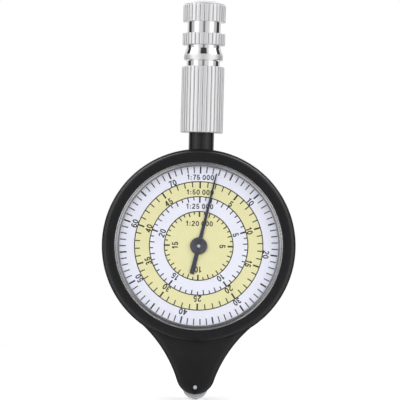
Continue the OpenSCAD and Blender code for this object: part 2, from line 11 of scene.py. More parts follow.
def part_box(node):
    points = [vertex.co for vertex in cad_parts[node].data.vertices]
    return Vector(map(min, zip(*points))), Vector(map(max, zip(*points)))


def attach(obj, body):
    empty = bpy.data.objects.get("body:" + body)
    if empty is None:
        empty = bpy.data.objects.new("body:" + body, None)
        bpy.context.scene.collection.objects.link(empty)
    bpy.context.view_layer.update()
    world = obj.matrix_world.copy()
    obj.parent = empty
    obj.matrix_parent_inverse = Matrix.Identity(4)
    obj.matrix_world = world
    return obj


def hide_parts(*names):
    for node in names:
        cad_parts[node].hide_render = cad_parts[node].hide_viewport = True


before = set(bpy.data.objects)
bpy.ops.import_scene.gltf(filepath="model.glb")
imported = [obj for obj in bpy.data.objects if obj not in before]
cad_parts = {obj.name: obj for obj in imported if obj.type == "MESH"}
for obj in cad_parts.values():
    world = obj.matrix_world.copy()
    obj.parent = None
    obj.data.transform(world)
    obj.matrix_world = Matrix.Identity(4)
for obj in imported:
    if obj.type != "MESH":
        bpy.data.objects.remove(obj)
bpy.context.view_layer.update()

bl_info = {
    "name": "Map Measurer",
    "version": (1, 0, 0),
    "blender": (4, 5, 0),
    "location": "View3D > Sidebar > Map Measurer",
    "description": "Dresses a round map measurer with printed dials, finishes and a studio",
    "category": "Object",
}

MM = 0.001

# Places taken from the imported model
DIAL_LOW, DIAL_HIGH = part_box("front_dial")
DIAL_Z = (DIAL_LOW.z + DIAL_HIGH.z) / 2
DIAL_FACE = -DIAL_LOW.y
HANDLE_LOW, HANDLE_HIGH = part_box("handle_grip")
RIDGE_R = HANDLE_HIGH.x
BEZEL_LOW, BEZEL_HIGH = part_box("front_bezel")
BEZEL_R = BEZEL_HIGH.x
BEZEL_FACE = -BEZEL_LOW.y
BEZEL_BACK = -BEZEL_HIGH.y
CASE_FACE = -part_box("front_case")[0].y
CRYSTAL_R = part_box("front_crystal")[1].x
TOP_Z = HANDLE_HIGH.z
WHEEL_Z = sum(corner.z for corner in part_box("measuring_wheel")) / 2

# Faces of the case: X to the right, Y up from the dial axis, Z towards the one who reads it
FRONT = Matrix.Translation((0, 0, DIAL_Z)) @ Matrix.Rotation(math.radians(90), 4, "X")
REAR = Matrix.Rotation(math.radians(180), 4, "Z") @ FRONT
SIDES = {"front": FRONT, "rear": REAR}

# Facets around a bezel or a dial
AROUND = 240


# Mesh helpers

def put(name, bm, material, body="housing", place=None, sharp=35):
    """Makes a piece from a bmesh, shades it and lets it ride on a body."""
    bmesh.ops.recalc_face_normals(bm, faces=bm.faces)
    mesh = bpy.data.meshes.new(name)
    bm.to_mesh(mesh)
    bm.free()
    if place is not None:
        mesh.transform(place)
    mesh.polygons.foreach_set("use_smooth", [True] * len(mesh.polygons))
    mesh.set_sharp_from_angle(angle=math.radians(sharp))
    mesh.materials.append(material)
    piece = bpy.data.objects.new(name, mesh)
    bpy.context.collection.objects.link(piece)
    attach(piece, body)
    return piece


def ring_of_points(bm, radius_at, height, count):
    """One ring of vertices around Z."""
    turns = [2 * math.pi * i / count for i in range(count)]
    return [bm.verts.new((radius_at(a) * math.cos(a), radius_at(a) * math.sin(a), height))
            for a in turns]


def lathe(bm, profile, count, radius_at=lambda r, a: r):
    """Turns a closed profile of (radius, height) around Z. A radius of 0 is a pole."""
    rings = []
    for r, z in profile:
        if r == 0:
            rings.append([bm.verts.new((0, 0, z))])
        else:
            rings.append(ring_of_points(bm, lambda a, r=r: radius_at(r, a), z, count))
    pairs = list(zip(rings, rings[1:]))
    if len(rings[0]) > 1:
        pairs.append((rings[-1], rings[0]))
    for a, b in pairs:
        for i in range(count):
            j = (i + 1) % count
            corners = [a[i % len(a)], a[j % len(a)], b[j % len(b)], b[i % len(b)]]
            corners = [v for k, v in enumerate(corners) if v not in corners[:k]]
            if len(corners) > 2:
                bm.faces.new(corners)


def rounded(points, radius, steps=4):
    """Rounds the inner corners of a line of points."""
    made = [points[0]]
    for before, corner, after in zip(points, points[1:], points[2:]):
        b, c, a = Vector(before), Vector(corner), Vector(after)
        cut = min(radius, (b - c).length * 0.45, (a - c).length * 0.45)
        start = c + (b - c).normalized() * cut
        end = c + (a - c).normalized() * cut
        for i in range(steps + 1):
            t = i / steps
            made.append(tuple(start * (1 - t) ** 2 + c * 2 * t * (1 - t) + end * t ** 2))
    return made + [points[-1]]


def bow(x, y, rx, ry, start, end, steps=10):
    """Points along a part of an ellipse, in degrees."""
    turns = [math.radians(start + (end - start) * i / steps) for i in range(steps + 1)]
    return [(x + rx * math.cos(a), y + ry * math.sin(a)) for a in turns]


def strip(bm, points, closed, width, low, high):
    """A line of even width with mitred corners, as a closed solid."""
    count = len(points)
    sections = []
    for i, (x, y) in enumerate(points):
        here = Vector((x, y))
        ways = []
        if closed or i > 0:
            ways.append((here - Vector(points[i - 1])).normalized())
        if closed or i < count - 1:
            ways.append((Vector(points[(i + 1) % count]) - here).normalized())
        along = (ways[0] + ways[-1]).normalized()
        side = Vector((-along.y, along.x))
        reach = width / 2 / max(0.45, side.dot(Vector((-ways[0].y, ways[0].x))))
        left = here + side * reach
        right = here - side * reach
        sections.append([bm.verts.new((*spot, level)) for spot, level in (
            (left, low), (right, low), (right, high), (left, high))])
    pairs = list(zip(sections, sections[1:]))
    if closed:
        pairs.append((sections[-1], sections[0]))
    else:
        bm.faces.new(sections[0])
        bm.faces.new(reversed(sections[-1]))
    for a, b in pairs:
        for k in range(4):
            m = (k + 1) % 4
            bm.faces.new((a[k], a[m], b[m], b[k]))


def smooth_copy(node, name, material, body="housing", sharp=30):
    """A copy of a CAD node with its facets shaded as one smooth surface."""
    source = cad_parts[node].data
    bm = bmesh.new()
    corners = [bm.verts.new(vertex.co) for vertex in source.vertices]
    for facet in source.polygons:
        bm.faces.new([corners[i] for i in facet.vertices])
    bmesh.ops.remove_doubles(bm, verts=bm.verts, dist=0.0005 * MM)
    piece = put(name, bm, material, body, sharp=sharp)
    piece.modifiers.new("even shading", "WEIGHTED_NORMAL").keep_sharp = True
    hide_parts(node)
    return piece


def give(material, *nodes):
    """Assigns a finish to CAD nodes."""
    for name in nodes:
        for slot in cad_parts[name].material_slots:
            slot.material = material


# Finishes

def add(tree, kind, props=None, inputs=None):
    """Adds a node. An input is a value, or an output that is linked to it."""
    made = tree.nodes.new(kind)
    for key, value in (props or {}).items():
        setattr(made, key, value)
    for key, value in (inputs or {}).items():
        if isinstance(value, bpy.types.NodeSocket):
            tree.links.new(value, made.inputs[key])
        else:
            made.inputs[key].default_value = value
    return made


def new_finish(name, **sockets):
    """A material with one shader, whose plain values are set on its own sockets."""
    material = bpy.data.materials.new(name)
    material.use_nodes = True
    tree = material.node_tree
    shader = tree.nodes["Principled BSDF"]
    for key, value in sockets.items():
        shader.inputs[key.replace("_", " ")].default_value = value
    return material, tree, shader


def where(tree):
    """Place of a point, in metres from the object's own zero."""
    return add(tree, "ShaderNodeTexCoord").outputs["Object"]


def grain(tree, size, stretch=(1, 1, 1)):
    """Noise with grains of a size, drawn out along an axis by stretch."""
    scaled = add(tree, "ShaderNodeMapping", inputs={
        "Vector": where(tree), "Scale": [1 / (size * s) for s in stretch]})
    noise = add(tree, "ShaderNodeTexNoise", inputs={
        "Vector": scaled.outputs["Vector"], "Scale": 1.0, "Detail": 4, "Roughness": 0.55})
    return noise.outputs["Fac"]


def spread(tree, value, low, high, start=0.3, end=0.7):
    """Maps a value from start to end onto low to high. The defaults suit a noise."""
    return add(tree, "ShaderNodeMapRange", inputs={
        "Value": value, "From Min": start, "From Max": end,
        "To Min": low, "To Max": high}).outputs["Result"]


def blend_colours(tree, share, first, second):
    """Mixes two colours, or outputs, by a share."""
    mixed = add(tree, "ShaderNodeMix", {"data_type": "RGBA"})
    for socket, value in (("Factor_Float", share), ("A_Color", first), ("B_Color", second)):
        target = next(s for s in mixed.inputs if s.identifier == socket)
        if isinstance(value, bpy.types.NodeSocket):
            tree.links.new(value, target)
        else:
            target.default_value = value
    return next(s for s in mixed.outputs if s.identifier == "Result_Color")


def mix_shaders(tree, share, first, second):
    """Mixes two shaders by a share."""
    return add(tree, "ShaderNodeMixShader", inputs={0: share, 1: first, 2: second}).outputs[0]


def calc(tree, operation, *values):
    """One step of arithmetic with values or outputs."""
    return add(tree, "ShaderNodeMath", {"operation": operation},
               dict(enumerate(values))).outputs[0]


def distance(tree, vector):
    """Length of a vector."""
    return add(tree, "ShaderNodeVectorMath", {"operation": "LENGTH"}, {0: vector}).outputs["Value"]


def axes(tree, vector):
    """Outputs X, Y and Z of a vector."""
    return add(tree, "ShaderNodeSeparateXYZ", inputs={"Vector": vector}).outputs


def from_pivot(tree, height):
    """Distance from the line along Y at a height, on which a dial or the wheel has its middle."""
    place = axes(tree, where(tree))
    rise = calc(tree, "SUBTRACT", place["Z"], height)
    flat = add(tree, "ShaderNodeCombineXYZ", inputs={"X": place["X"], "Y": rise})
    return distance(tree, flat.outputs["Vector"])


def grey(level):
    """A colour without hue."""
    return (level, level, level, 1)


def shade(colour, factor):
    """A colour made darker or lighter."""
    return (*[min(1, c * factor) for c in colour[:3]], 1)


def wire(tree, node, **outputs):
    """Links outputs to the sockets of a node by their names."""
    for key, output in outputs.items():
        tree.links.new(output, node.inputs[key.replace("_", " ")])


def bump(tree, shader, height, depth):
    """Gives a surface a fine relief."""
    made = add(tree, "ShaderNodeBump", inputs={
        "Height": height, "Distance": depth, "Strength": 1.0})
    wire(tree, shader, Normal=made.outputs["Normal"])


def plain_finish(name, colour, rough, tone=0.06, rough_spread=0.05, size=0.6 * MM,
                 stretch=(1, 1, 1), depth=0.002 * MM, **sockets):
    """A finish with small changes of tone and gloss, and a fine surface."""
    material, tree, shader = new_finish(name, **sockets)
    broad = grain(tree, size * 6)
    fine = grain(tree, size, stretch)
    wire(tree, shader,
         Base_Color=blend_colours(tree, broad, shade(colour, 1 - tone), shade(colour, 1 + tone)),
         Roughness=spread(tree, fine, max(0, rough - rough_spread), rough + rough_spread))
    bump(tree, shader, fine, depth)
    return material


def case_plastic(colour):
    """Black moulded plastic, a little duller in patches."""
    material, tree, shader = new_finish("case plastic", Specular_IOR_Level=0.4)
    fine = grain(tree, 0.14 * MM)
    broad = grain(tree, 7 * MM)
    wire(tree, shader,
         Base_Color=blend_colours(tree, broad, shade(colour, 0.9), shade(colour, 1.15)),
         Roughness=spread(tree, broad, 0.2, 0.28))
    bump(tree, shader, fine, 0.002 * MM)
    return material


def handle_chrome(colour):
    """Plating, satin on bands and dome and bright between. Deep in the flutes the colour is
    darker, painted shade.
    """
    material, tree, shader = new_finish("handle chrome", Metallic=1.0)
    place = axes(tree, where(tree))
    flat = add(tree, "ShaderNodeCombineXYZ", inputs={"X": place["X"], "Y": place["Y"]})
    away = distance(tree, flat.outputs["Vector"])
    # By distance from the axis: how deep in a flute, the fluted bands, and these with the bead
    groove = spread(tree, away, 1, 0, RIDGE_R - 0.3 * MM, RIDGE_R - 0.08 * MM)
    on_flutes = spread(tree, away, 0, 1, RIDGE_R - 0.45 * MM, RIDGE_R - 0.36 * MM)
    on_wide = spread(tree, away, 0, 1, RIDGE_R - 0.6 * MM, RIDGE_R - 0.52 * MM)
    on_dome = spread(tree, place["Z"], 0, 1, TOP_Z - 1.25 * MM, TOP_Z - 1.2 * MM)
    # Darker colour deep in the flutes: painted shade
    flute_shade = calc(tree, "MULTIPLY", groove, on_flutes)
    cloud = grain(tree, 3 * MM)
    bright = blend_colours(tree, cloud, shade(colour, 0.96), shade(colour, 1.04))
    banded = blend_colours(tree, on_wide, bright, shade(colour, 1.1))
    domed = blend_colours(tree, on_dome, banded, shade(colour, 0.95))
    wiped = grain(tree, 0.25 * MM, (1, 1, 6))
    gloss = spread(tree, wiped, 0.07, 0.13)
    either = calc(tree, "MAXIMUM", on_wide, on_dome)
    wire(tree, shader,
         Base_Color=blend_colours(tree, flute_shade, domed, shade(colour, 0.66)),
         Roughness=calc(tree, "MULTIPLY_ADD", either, 0.4, gloss))
    bump(tree, shader, wiped, 0.00015 * MM)
    return material


def crystal_finish():
    """Clear window with faint wiping marks, through which the lamps light the dial."""
    material, tree, shader = new_finish(
        "crystal", Transmission_Weight=1.0, IOR=1.49, Base_Color=grey(1))
    marks = grain(tree, 0.5 * MM, (12, 1, 1))
    wire(tree, shader, Roughness=spread(tree, marks, 0.0, 0.012, 0.6, 0.8))
    clear = add(tree, "ShaderNodeBsdfTransparent", inputs={"Color": grey(0.96)})
    shadow = add(tree, "ShaderNodeLightPath").outputs["Is Shadow Ray"]
    wire(tree, tree.nodes["Material Output"],
         Surface=mix_shaders(tree, shadow, shader.outputs[0], clear.outputs[0]))
    return material


def dial_ring_finish(colour):
    """Metal of the ring around a dial, with painted shade along its inner edge, where it meets the
    dial.
    """
    ring_width = 1.1 * MM
    view_r = CRYSTAL_R - ring_width
    material, tree, shader = new_finish("dial ring", Metallic=1.0)
    # A dark band at the inner edge of the ring: painted shade
    edge_shade = spread(tree, from_pivot(tree, DIAL_Z), 1, 0, view_r + 0.06 * MM, view_r + 0.12 * MM)
    cloud = grain(tree, 1.5 * MM)
    bright = blend_colours(tree, cloud, shade(colour, 0.94), shade(colour, 1.06))
    wire(tree, shader,
         Base_Color=blend_colours(tree, edge_shade, bright, shade(colour, 0.12)),
         Roughness=spread(tree, grain(tree, 0.2 * MM), 0.14, 0.24))
    return material


def turned_steel(name, colour, pitch, rough, light, dark, edge_r):
    """Steel with light and dark rings around the wheel's axis, and a dark rim. On the wheel the
    rings are the lathe's; on the pin they are a painted highlight and painted shade for its
    rounded end, and the dark rim is painted shade.
    """
    material, tree, shader = new_finish(name, Metallic=1.0)
    away = from_pivot(tree, WHEEL_Z)
    rings = calc(tree, "COSINE", calc(tree, "MULTIPLY", away, 2 * math.pi / pitch))
    share = spread(tree, rings, 0, 1, -0.8, 0.5)
    ringed = blend_colours(tree, share, shade(colour, dark), shade(colour, light))
    # A dark rim out to edge_r: painted shade
    edge = spread(tree, away, 0, 1, edge_r - 0.06 * MM, edge_r)
    wire(tree, shader,
         Base_Color=blend_colours(tree, edge, ringed, shade(colour, dark * 0.3)),
         Roughness=spread(tree, grain(tree, 0.12 * MM), rough, rough + 0.14))
    bump(tree, shader, rings, 0.004 * MM)
    return material


# Settings that a user would change

def colour_setting(name, default, description):
    """A colour that a user can pick."""
    return FloatVectorProperty(name=name, description=description, default=default,
                               subtype="COLOR", size=3, min=0, max=1)


class MapMeasurerDialSettings(bpy.types.PropertyGroup):
    """Sizes and colours of the printed dials."""

    white: colour_setting("White", (0.81, 0.82, 0.93), "Colour of the white zones")
    yellow: colour_setting("Yellow", (0.79, 0.755, 0.42), "Colour of the pale yellow zones")
    ink: colour_setting("Ink", (0.012, 0.012, 0.012), "Colour of the scales and numbers")
    line: FloatProperty(name="Line", description="Width of the circles between the scales",
                        default=0.27 * MM, min=0.05 * MM, max=0.4 * MM, unit="LENGTH")
    tick: FloatProperty(name="Tick", description="Width of a plain tick",
                        default=0.29 * MM, min=0.05 * MM, max=0.4 * MM, unit="LENGTH")
    bold_tick: FloatProperty(name="Bold tick", description="Width of every fifth tick",
                             default=0.43 * MM, min=0.05 * MM, max=0.6 * MM, unit="LENGTH")
    number: FloatProperty(name="Number", description="Height of the numbers",
                          default=1.62 * MM, min=1 * MM, max=3 * MM, unit="LENGTH")
    caption: FloatProperty(name="Caption", description="Height of the scale ratios",
                           default=1.36 * MM, min=0.8 * MM, max=2 * MM, unit="LENGTH")


class MapMeasurerFinishSettings(bpy.types.PropertyGroup):
    """Colours of the finishes."""

    case: colour_setting("Case", (0.0075, 0.0075, 0.0083), "Black plastic of the case")
    bezel: colour_setting("Bezel", (0.0075, 0.0075, 0.0085), "Polished black of the bezels")
    chrome: colour_setting("Chrome", (0.80, 0.80, 0.81), "Plating of the handle")
    steel: colour_setting("Steel", (0.56, 0.57, 0.58), "Screws, stud, arbors and wheel")
    brass: colour_setting("Brass", (0.72, 0.53, 0.25), "Plates and gears of the movement")
    pointer: colour_setting("Pointer", (0.038, 0.038, 0.057), "Blue-black of the pointers")
    ring: colour_setting("Dial ring", (0.41, 0.41, 0.43), "Metal of the rings around the dials")


class MapMeasurerStageSettings(bpy.types.PropertyGroup):
    """Camera and light."""

    lens: FloatProperty(name="Lens", description="Focal length of the camera",
                        default=200, min=50, max=400, unit="CAMERA")
    lean: FloatProperty(name="Lean", description="Turn of the picture about the view axis",
                        default=math.radians(1.45), subtype="ANGLE")
    lamp: FloatProperty(name="Lamps", description="Strength of all lamps",
                        default=1.15, min=0, max=4)
    air: FloatProperty(name="Surround", description="Strength of the even light all around",
                       default=0.5, min=0, max=2)


# Pieces

class MapMeasurerCase(bpy.types.Operator):
    """Finishes the case halves and their screws, and turns the bezels."""

    bl_idname = "map_measurer.case"
    bl_label = "Case and bezels"

    def execute(self, context):
        colours = context.scene.map_measurer_finishes
        plastic = case_plastic(colours.case)
        for side in SIDES:
            smooth_copy(f"{side}_case", f"{side}_case_half", plastic)
        steel = plain_finish("screw steel", colours.steel, 0.3, size=0.2 * MM, Metallic=1.0)
        give(steel, "case_screws")
        polished = plain_finish("bezel plastic", colours.bezel, 0.16, rough_spread=0.03,
                                size=1.2 * MM, depth=0.0015 * MM, Specular_IOR_Level=0.5)
        for side, place in SIDES.items():
            bm = bmesh.new()
            lathe(bm, self.bezel_profile(), AROUND)
            ring = put(f"{side}_bezel_ring", bm, polished, place=place)
            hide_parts(f"{side}_bezel")
        return {"FINISHED"}

    @staticmethod
    def bezel_profile():
        """Section of a bezel: a spigot, a wide round at the outside and a small one inside."""
        bore_r = CRYSTAL_R + 0.05 * MM
        spigot_r = bore_r + 0.6 * MM
        big = 0.7 * MM
        small = 0.2 * MM
        return [
            (bore_r, BEZEL_BACK), (spigot_r, BEZEL_BACK),
            (spigot_r, CASE_FACE), (BEZEL_R, CASE_FACE),
            *bow(BEZEL_R - big, BEZEL_FACE - big, big, big, 0, 90, 16),
            *bow(bore_r + small, BEZEL_FACE - small, small, small, 90, 180, 8)]


class MapMeasurerCrystals(bpy.types.Operator):
    """Finishes the clear windows and the rings around the dials."""

    bl_idname = "map_measurer.crystals"
    bl_label = "Crystals and dial rings"

    def execute(self, context):
        colours = context.scene.map_measurer_finishes
        give(crystal_finish(), "front_crystal", "rear_crystal")
        give(dial_ring_finish(colours.ring), "front_dial_ring", "rear_dial_ring")
        return {"FINISHED"}


# Bands of a dial from the rim inwards, in millimetres: radius where the ticks start, lengths of
# part, unit and bold ticks, radius of the numbers, radius of the ratio
BANDS = (
    (21.25, (1.7, 1.7, 1.85), 18.15, 18.4),
    (17.22, (1.45, 1.45, 1.75), 14.15, 14.4),
    (13.2, (0.95, 1.3, 1.6), 10.35, 10.6),
    (9.23, (0.8, 1.2, 1.5), 6.35, 6.0),
)
# The scale in each band: ratio, units in one turn, ticks in a unit, step of the numbers
SCALES = {
    "front": (("1:75 000", 75, 1, 10), ("1:50 000", 50, 1, 5),
              ("1:25 000", 25, 2, 5), ("1:20 000", 20, 2, 5)),
    "rear": (("1:100 000", 100, 1, 10), ("1:40 000", 40, 1, 5),
             ("1:30 000", 30, 2, 5), ("1:15 000", 15, 2, 5)),
}
# The smallest radius of the inner yellow zone, under the hub
ZONE_BORE = 1.7 * MM
# Thickness of the printed zones and of the ink
FILM = 0.006 * MM
INK_FILM = 0.012 * MM

# Figures in a box one unit high: the width, and for each stroke its middle line and if it closes
STROKE = 0.188
NINE = [(bow(0.3, 0.68, 0.215, 0.24, 0, 360, 22)[:-1], True),
        (bow(0.3, 0.38, 0.215, 0.3, -150, 0) + [(0.515, 0.68)], False)]
FIGURES = {
    "0": (0.6, [(bow(0.3, 0.5, 0.21, 0.42, 0, 360, 26)[:-1], True)]),
    "1": (0.5, [([(0.33, 0), (0.33, 1)], False),
                ([(0.08, 0.74), (0.22, 0.79), (0.3, 0.93)], False)]),
    "2": (0.6, [(bow(0.3, 0.7, 0.205, 0.22, 172, -38) + [(0.15, 0.2), (0.1, 0.082), (0.54, 0.082)],
                 False)]),
    "3": (0.6, [(bow(0.29, 0.715, 0.19, 0.203, 162, -90) + [(0.21, 0.512)], False),
                ([(0.21, 0.506)] + bow(0.29, 0.294, 0.215, 0.212, 90, -162), False)]),
    "4": (0.62, [([(0.4, 0.9), (0.09, 0.3), (0.6, 0.3)], False), ([(0.43, 0), (0.43, 1)], False)]),
    "5": (0.6, [([(0.5, 0.918), (0.17, 0.918), (0.12, 0.45)]
                 + bow(0.29, 0.32, 0.215, 0.238, 128, -158), False)]),
    "6": (0.6, [([(0.6 - x, 1 - y) for x, y in line], closed) for line, closed in NINE]),
    "7": (0.57, [([(0.05, 0.918), (0.5, 0.918), (0.34, 0.55), (0.24, 0)], False)]),
    "8": (0.6, [(bow(0.3, 0.72, 0.185, 0.2, 0, 360, 20)[:-1], True),
                (bow(0.3, 0.296, 0.215, 0.214, 0, 360, 22)[:-1], True)]),
    "9": (0.6, NINE),
    ":": (0.34, [([(0.17, 0.04), (0.17, 0.22)], False), ([(0.17, 0.5), (0.17, 0.68)], False)]),
    " ": (0.2, []),
}


class MapMeasurerDials(bpy.types.Operator):
    """Prints the zones, scales and numbers on both dials."""

    bl_idname = "map_measurer.dials"
    bl_label = "Dials"

    def execute(self, context):
        dials = context.scene.map_measurer_dials
        white = plain_finish("dial white", dials.white, 0.5, tone=0.015, size=0.4 * MM,
                             depth=0.0008 * MM)
        yellow = plain_finish("dial yellow", dials.yellow, 0.5, tone=0.03, size=0.4 * MM,
                              depth=0.0008 * MM)
        ink = plain_finish("dial ink", dials.ink, 0.4, tone=0.2, size=0.2 * MM)
        give(white, "front_dial", "rear_dial")
        for side, place in SIDES.items():
            scales = SCALES[side]
            put(f"{side}_dial_zones", self.zones(), yellow, place=place)
            put(f"{side}_dial_scales", self.scales(scales, dials), ink, place=place)
            put(f"{side}_dial_numbers", self.numbers(scales, dials), ink, place=place)
        return {"FINISHED"}

    @staticmethod
    def disc(bm, inner, outer, thick):
        """A flat ring on the face of the dial."""
        top = DIAL_FACE + thick
        lathe(bm, [(inner, DIAL_FACE), (outer, DIAL_FACE), (outer, top), (inner, top)], AROUND)

    def zones(self):
        """Yellow zones under the second and the last scale."""
        rims = [band[0] * MM for band in BANDS]
        bm = bmesh.new()
        self.disc(bm, rims[2], rims[1], FILM)
        self.disc(bm, ZONE_BORE, rims[3], FILM)
        return bm

    def scales(self, scales, dials):
        """The ticks of each scale, and a circle around all but the outer one."""
        bm = bmesh.new()
        for (_, units, parts, _), (rim, lengths, _, _) in zip(scales, BANDS):
            part_length, unit_length, bold_length = lengths
            if rim < BANDS[0][0]:
                self.disc(bm, rim * MM - dials.line / 2, rim * MM + dials.line / 2, INK_FILM)
            for i in range(units * parts):
                length = part_length if i % parts else unit_length
                width = dials.tick
                if i % (5 * parts) == 0:
                    length = bold_length
                    width = dials.bold_tick
                self.tick_mark(bm, 360 * i / (units * parts), rim * MM, (rim - length) * MM, width)
        return bm

    @staticmethod
    def tick_mark(bm, angle, outer, inner, width):
        """One tick at an angle clockwise from the top."""
        turn = Matrix.Rotation(math.radians(-angle), 4, "Z")
        size = Matrix.Diagonal((width, outer - inner, INK_FILM, 1))
        middle = Matrix.Translation((0, (outer + inner) / 2, DIAL_FACE + INK_FILM / 2))
        bmesh.ops.create_cube(bm, size=1, matrix=turn @ middle @ size)

    def numbers(self, scales, dials):
        """Numbers around each scale, and its ratio at the top."""
        bm = bmesh.new()
        for (ratio, units, _, step), (_, _, number_r, ratio_r) in zip(scales, BANDS):
            for value in range(step, units, step):
                self.words(bm, str(value), dials.number, number_r * MM, 360 * value / units)
            self.words(bm, ratio, dials.caption, ratio_r * MM, 0, wide=1.14)
        return bm

    @staticmethod
    def words(bm, text, size, radius, angle, gap=0.1, wide=1.0):
        """Sets figures at a radius and an angle clockwise from the top, their heads outwards."""
        along = -sum(FIGURES[c][0] + gap for c in text) / 2
        turn = Matrix.Rotation(math.radians(-angle), 2)
        for c in text:
            width, strokes = FIGURES[c]
            for k, (line, closed) in enumerate(strokes):
                points = [tuple(turn @ Vector(((along + gap / 2 + x) * size * wide,
                                               radius + (y - 0.5) * size))) for x, y in line]
                strip(bm, points, closed, STROKE * size, DIAL_FACE,
                      DIAL_FACE + INK_FILM * (1 + 0.1 * k))
            along += width + gap


class MapMeasurerPointers(bpy.types.Operator):
    """Finishes the pointers and their domed hubs."""

    bl_idname = "map_measurer.pointers"
    bl_label = "Pointers"

    def execute(self, context):
        colours = context.scene.map_measurer_finishes
        blued = plain_finish("pointer blue", colours.pointer, 0.22, size=0.5 * MM,
                             depth=0.0008 * MM, Specular_IOR_Level=0.6)
        give(blued, "front_pointer", "rear_pointer")
        for side in SIDES:
            smooth_copy(f"{side}_pointer_hub", f"{side}_pointer_boss", blued,
                        "pointers", sharp=40)
        return {"FINISHED"}


class MapMeasurerHandle(bpy.types.Operator):
    """Turns and flutes the handle."""

    bl_idname = "map_measurer.handle"
    bl_label = "Handle"
    flutes = 30
    flute_depth = 0.32 * MM
    flute_facets = 14
    bore_r = 1.52 * MM

    def execute(self, context):
        colours = context.scene.map_measurer_finishes
        bm = bmesh.new()
        lathe(bm, self.profile(), self.flutes * self.flute_facets, self.radius_at)
        grip = put("fluted_handle", bm, handle_chrome(colours.chrome), sharp=50)
        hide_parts("handle_grip")
        give(plain_finish("stud steel", colours.steel, 0.35, Metallic=1.0), "handle_stud")
        return {"FINISHED"}

    def radius_at(self, r, angle):
        """The turned radius, or that of the fluted bar where it is smaller, softly joined."""
        share = abs((angle / (2 * math.pi) * self.flutes + 0.5) % 1 - 0.5) * 2
        bar = RIDGE_R - self.flute_depth * share ** 5
        soft = 0.06 * MM
        near = max(soft - abs(r - bar), 0) / soft
        return min(r, bar) - near * near * soft / 4

    def profile(self):
        """Outline from the bore up the outside to the dome, in metres."""
        # Radii, the size of an edge and heights, in millimetres
        ridge, neck, bead, cone = RIDGE_R / MM, 4.5, 5.27, 4.6
        edge = 0.224
        heights = [0, 17.9, 19.4, 20.9, 22.8, 23.6, 26.8, 29.9, 34.5, 35.7]
        base, sleeve, low, high, cone_top, ring, ring_top, cap, cap_top, dome = heights
        outline = rounded([
            (self.bore_r / MM, base), (ridge - edge, base), (ridge, base + edge),
            (ridge, sleeve - edge), (ridge - edge, sleeve), (neck, sleeve), (neck, low),
            (bead - 0.45, low), (bead - 0.13, low + 0.13), (bead, low + 0.45), (bead, high),
            (cone, cone_top),
            (cone, ring), (ridge - edge, ring), (ridge, ring + edge),
            (ridge, ring_top - edge / 2), (ridge - edge / 2, ring_top), (neck, ring_top),
            (neck, cap), (ridge - edge / 2, cap), (ridge, cap + edge / 2),
            (ridge, cap_top - edge), (ridge - edge, cap_top)], 0.1)
        outline += bow(0, cap_top, ridge - edge, dome - cap_top, 0, 90, 14)[1:-1]
        outline += [(0, dome)]
        bore_top = ring_top + 0.05
        inside = [(0, bore_top), (self.bore_r / MM, bore_top)]
        return [(r * MM, HANDLE_LOW.z + z * MM) for r, z in inside + outline]


class MapMeasurerWheel(bpy.types.Operator):
    """Finishes the measuring wheel and its pin."""

    bl_idname = "map_measurer.wheel"
    bl_label = "Measuring wheel"

    def execute(self, context):
        colours = context.scene.map_measurer_finishes
        wheel = turned_steel("wheel steel", colours.steel, pitch=0.6 * MM, rough=0.45,
                             light=1.7, dark=1.3, edge_r=3.6 * MM)
        give(wheel, "measuring_wheel")
        # On the pin the rings give a bright middle and a dark ring: painted highlight and painted
        # shade of its rounded end
        pin = turned_steel("pin steel", (0.95, 0.95, 0.96), pitch=0.54 * MM, rough=0.6,
                           light=1.05, dark=0.85, edge_r=0.53 * MM)
        give(pin, "wheel_pin")
        return {"FINISHED"}


class MapMeasurerMovement(bpy.types.Operator):
    """Finishes the movement behind the dials."""

    bl_idname = "map_measurer.movement"
    bl_label = "Movement"

    def execute(self, context):
        colours = context.scene.map_measurer_finishes
        plate = plain_finish("plate brass", colours.brass, 0.32, size=0.25 * MM,
                             stretch=(8, 1, 1), Metallic=1.0)
        gear = plain_finish("gear brass", shade(colours.brass, 1.06), 0.24, size=0.15 * MM,
                            Metallic=1.0)
        steel = plain_finish("arbor steel", shade(colours.steel, 1.6), 0.3, size=0.12 * MM,
                             Metallic=1.0)
        give(plate, "front_plate", "rear_plate", "plate_pillars", "front_bush", "rear_bush")
        give(gear, *[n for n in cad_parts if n.endswith(("_gear", "_pinion"))])
        give(steel, *[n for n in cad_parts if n.endswith("_arbor")], "plate_screws")
        return {"FINISHED"}


# Studio

# What the picture is across, and where its middle is, to the right and up
VIEW_WIDTH = 108 * MM
VIEW_MIDDLE = (0.04 * MM, 53.80 * MM)
# Half a side of the floor, in metres
FLOOR_HALF = 3
# Lamps: name, place, side and power, in metres and watts
LAMPS = (
    ("key", (-0.55, -0.85, 0.5), 0.6, 5.3),
    ("fill", (0.70, -0.70, 0.35), 0.55, 4.3),
    ("top", (0.0, 0.05, 1.0), 0.6, 2.2),
    ("back left", (-0.65, 0.75, 0.45), 0.5, 2.8),
    ("back right", (0.65, 0.75, 0.45), 0.5, 2.8),
)
# Distances on the floor, in metres: where the floor that shows a shadow turns into plain white,
# and where bright surfaces see it turn from dim, a painted shadow of the object, into full light
SHADOW_REACH = (0.06, 0.2)
PAINTED_SHADOW_REACH = (0.02, 0.07)


def mirrored_rays(tree):
    """1 for rays from bright surfaces, 0 for light that reaches a matt one through glass."""
    path = add(tree, "ShaderNodeLightPath").outputs
    return calc(tree, "GREATER_THAN", path["Is Glossy Ray"], path["Diffuse Depth"])


def white_for_seen_rays(tree, camera, others):
    """Shows the first shader to camera, glossy and transmission rays, else the second."""
    path = add(tree, "ShaderNodeLightPath").outputs
    share = path["Is Camera Ray"]
    for name in ("Is Glossy Ray", "Is Transmission Ray"):
        share = calc(tree, "MAXIMUM", share, path[name])
    return mix_shaders(tree, share, others, camera)


